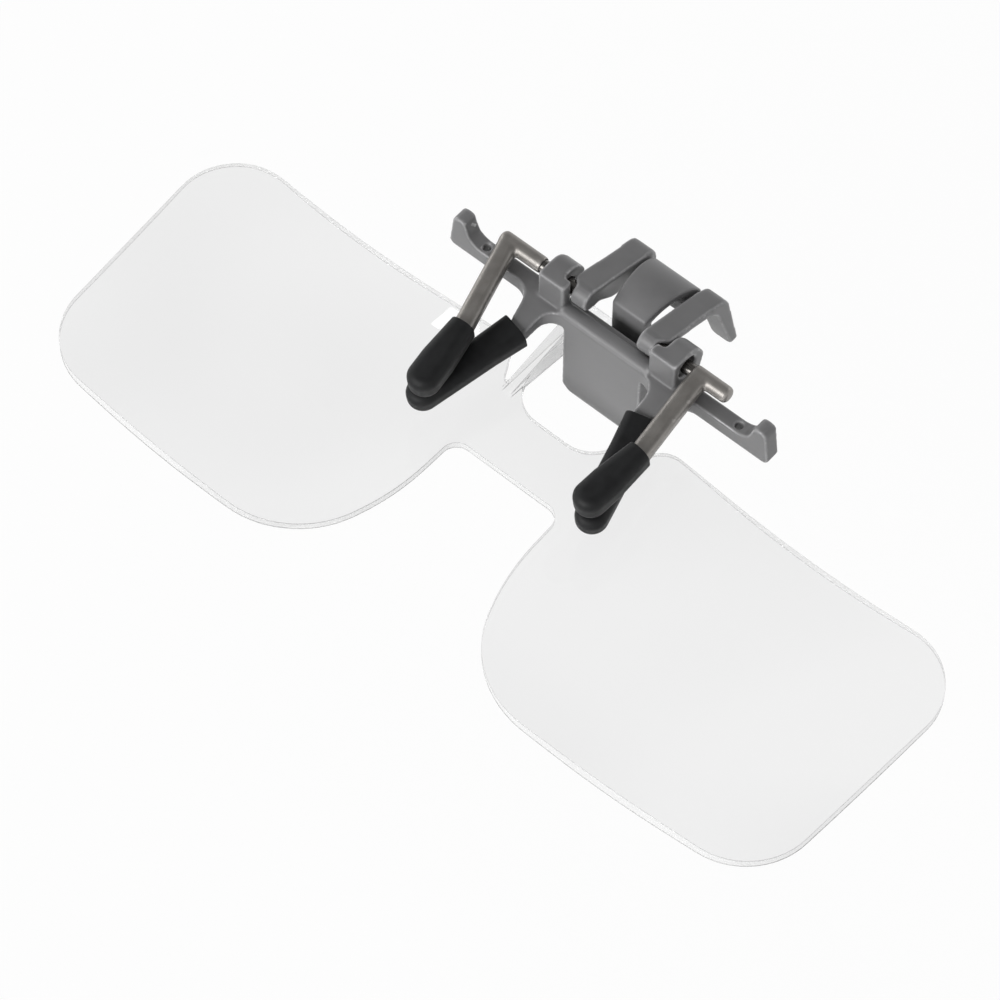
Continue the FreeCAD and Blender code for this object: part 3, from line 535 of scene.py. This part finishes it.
def strip_mesh(rings_of_points):
    """Closed mesh through rings of four points, with its long edges rounded."""
    form = bmesh.new()
    rings = [[form.verts.new(FACE @ point) for point in ring] for ring in rings_of_points]
    for ring, following in zip(rings, rings[1:]):
        for i in range(4):
            j = (i + 1) % 4
            form.faces.new((ring[i], ring[j], following[j], following[i]))
    form.faces.new(rings[0])
    form.faces.new(rings[-1])
    bmesh.ops.recalc_face_normals(form, faces=form.faces)
    creased = [edge for edge in form.edges if abs(edge.calc_face_angle(0)) > SPRING_CREASE]
    bmesh.ops.bevel(form, geom=creased, offset=SPRING_BEVEL, segments=SPRING_BEVEL_STEPS,
                    profile=SPRING_BEVEL_ROUNDNESS, affect="EDGES")
    mesh = bpy.data.meshes.new("spring_strip")
    form.to_mesh(mesh)
    form.free()
    for polygon in mesh.polygons:
        polygon.use_smooth = True
    return mesh


def spring_strip():
    """Arched strip with soft edges, which takes the place of the arch spring."""
    points = [FACE.inverted() @ vertex.co for vertex in NODES["arch_spring"].data.vertices]
    front = min(p.y for p in points)
    rear = max(p.y for p in points)
    at_front = [p for p in points if p.y < front + SAME_PLACE]
    at_rear = [p for p in points if p.y > rear - SAME_PLACE]
    top = max(points, key=lambda p: p.z)
    shoulder = max(p.z for p in at_front)
    end = max(p.z for p in at_rear)
    foot = min(p.z for p in at_front)
    rest = min(p.z for p in at_rear)
    half_front = max(p.x for p in at_front)
    half_rear = max(p.x for p in at_rear)
    stations = spring_stations((front, foot), (front, shoulder), (top.y, top.z),
                               (rear, end), (rear, rest))
    rings = []
    for outer, inner in stations:
        ring = []
        for side, (y, z) in ((-1, outer), (1, outer), (1, inner), (-1, inner)):
            half = half_front + (half_rear - half_front) * (y - front) / (rear - front)
            ring.append(Vector((side * half, y, z)))
        rings.append(ring)
    mesh = strip_mesh(rings)
    strip = bpy.data.objects.new("spring_strip", mesh)
    bpy.context.scene.collection.objects.link(strip)
    mesh.materials.append(MATERIALS["strip_plastic"])
    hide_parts("arch_spring")
    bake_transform(strip)


def shown_plainly(tree):
    """1 for rays that show the background: from the camera, off gloss and through glass."""
    path = add(tree, "ShaderNodeLightPath")
    some = calculated(tree, "MAXIMUM", path.outputs["Is Camera Ray"], path.outputs["Is Glossy Ray"])
    return calculated(tree, "MAXIMUM", some, path.outputs["Is Transmission Ray"])


def floor_height():
    """Height of a floor that the lenses clear as they flip."""
    hinge = Vector(named(frame["joints"], "lens_flip")["pos_m"])
    reach = max(math.hypot(vertex.co.y - hinge.y, vertex.co.z - hinge.z)
                for vertex in NODES["lens_pair"].data.vertices)
    return hinge.z - reach - FLOOR_ROOM


def make_floor():
    """White floor that keeps a faint shadow, low enough for the lenses to flip above it."""
    made = bpy.data.materials.new("floor")
    made.use_nodes = True
    tree = made.node_tree
    tree.nodes.clear()
    plain = add(tree, "ShaderNodeBsdfDiffuse", {"Color": grey(FLOOR_LEVEL)})
    glow = add(tree, "ShaderNodeEmission", {"Color": WHITE, "Strength": 1.0})
    mixed = add(tree, "ShaderNodeMixShader", {
        0: scaled(tree, shown_plainly(tree), FLOOR_GLOW), 1: plain.outputs[0], 2: glow.outputs[0]})
    add(tree, "ShaderNodeOutputMaterial", {"Surface": mixed.outputs[0]})
    low = floor_height()
    mesh = bpy.data.meshes.new("floor")
    corners = [(-1, -1), (1, -1), (1, 1), (-1, 1)]
    mesh.from_pydata([(x * FLOOR_HALF, y * FLOOR_HALF, low) for x, y in corners], [],
                     [(0, 1, 2, 3)])
    mesh.materials.append(made)
    floor = bpy.data.objects.new("floor", mesh)
    bpy.context.scene.collection.objects.link(floor)


def make_world():
    """Even pale surroundings, shown as white all round and greyer overhead."""
    world = bpy.data.worlds.new("studio")
    world.use_nodes = True
    tree = world.node_tree
    background = tree.nodes["Background"]
    background.inputs["Color"].default_value = WHITE
    direction = add(tree, "ShaderNodeTexCoord").outputs["Generated"]
    upward = add(tree, "ShaderNodeSeparateXYZ", {"Vector": direction}).outputs["Z"]
    seen = ranged(tree, upward, SKY_FADE, (SKY_LOW, SKY_TOP))
    strength = add(tree, "ShaderNodeMix", {
        MIX_SHARE: shown_plainly(tree), MIX_NUMBERS[0]: SKY_LIGHT, MIX_NUMBERS[1]: seen})
    feed(tree, background, {"Strength": strength.outputs[MIX_NUMBER_OUT]})
    bpy.context.scene.world = world


def make_lamp(name, place, wide, tall, power, mirrored):
    """Rectangular soft lamp, aimed at the middle of the loupe."""
    data = bpy.data.lights.new(name, "AREA")
    data.shape = "RECTANGLE"
    data.size = wide
    data.size_y = tall
    data.energy = power
    lamp = bpy.data.objects.new(name, data)
    where = FACE @ Vector(place)
    aim = (-where).to_track_quat("-Z", "Y")
    lamp.matrix_world = Matrix.Translation(where) @ aim.to_matrix().to_4x4()
    lamp.visible_glossy = mirrored
    lamp.visible_transmission = mirrored
    bpy.context.scene.collection.objects.link(lamp)


def main():
    """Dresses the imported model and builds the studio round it."""
    dress_nodes()
    for name, rounds in MOULD_ROUNDS.items():
        soften(name, rounds)
    spring_strip()
    make_floor()
    make_world()
    for lamp in LAMPS:
        make_lamp(*lamp)
    make_camera()
    bpy.context.scene.view_settings.view_transform = "Standard"


main()
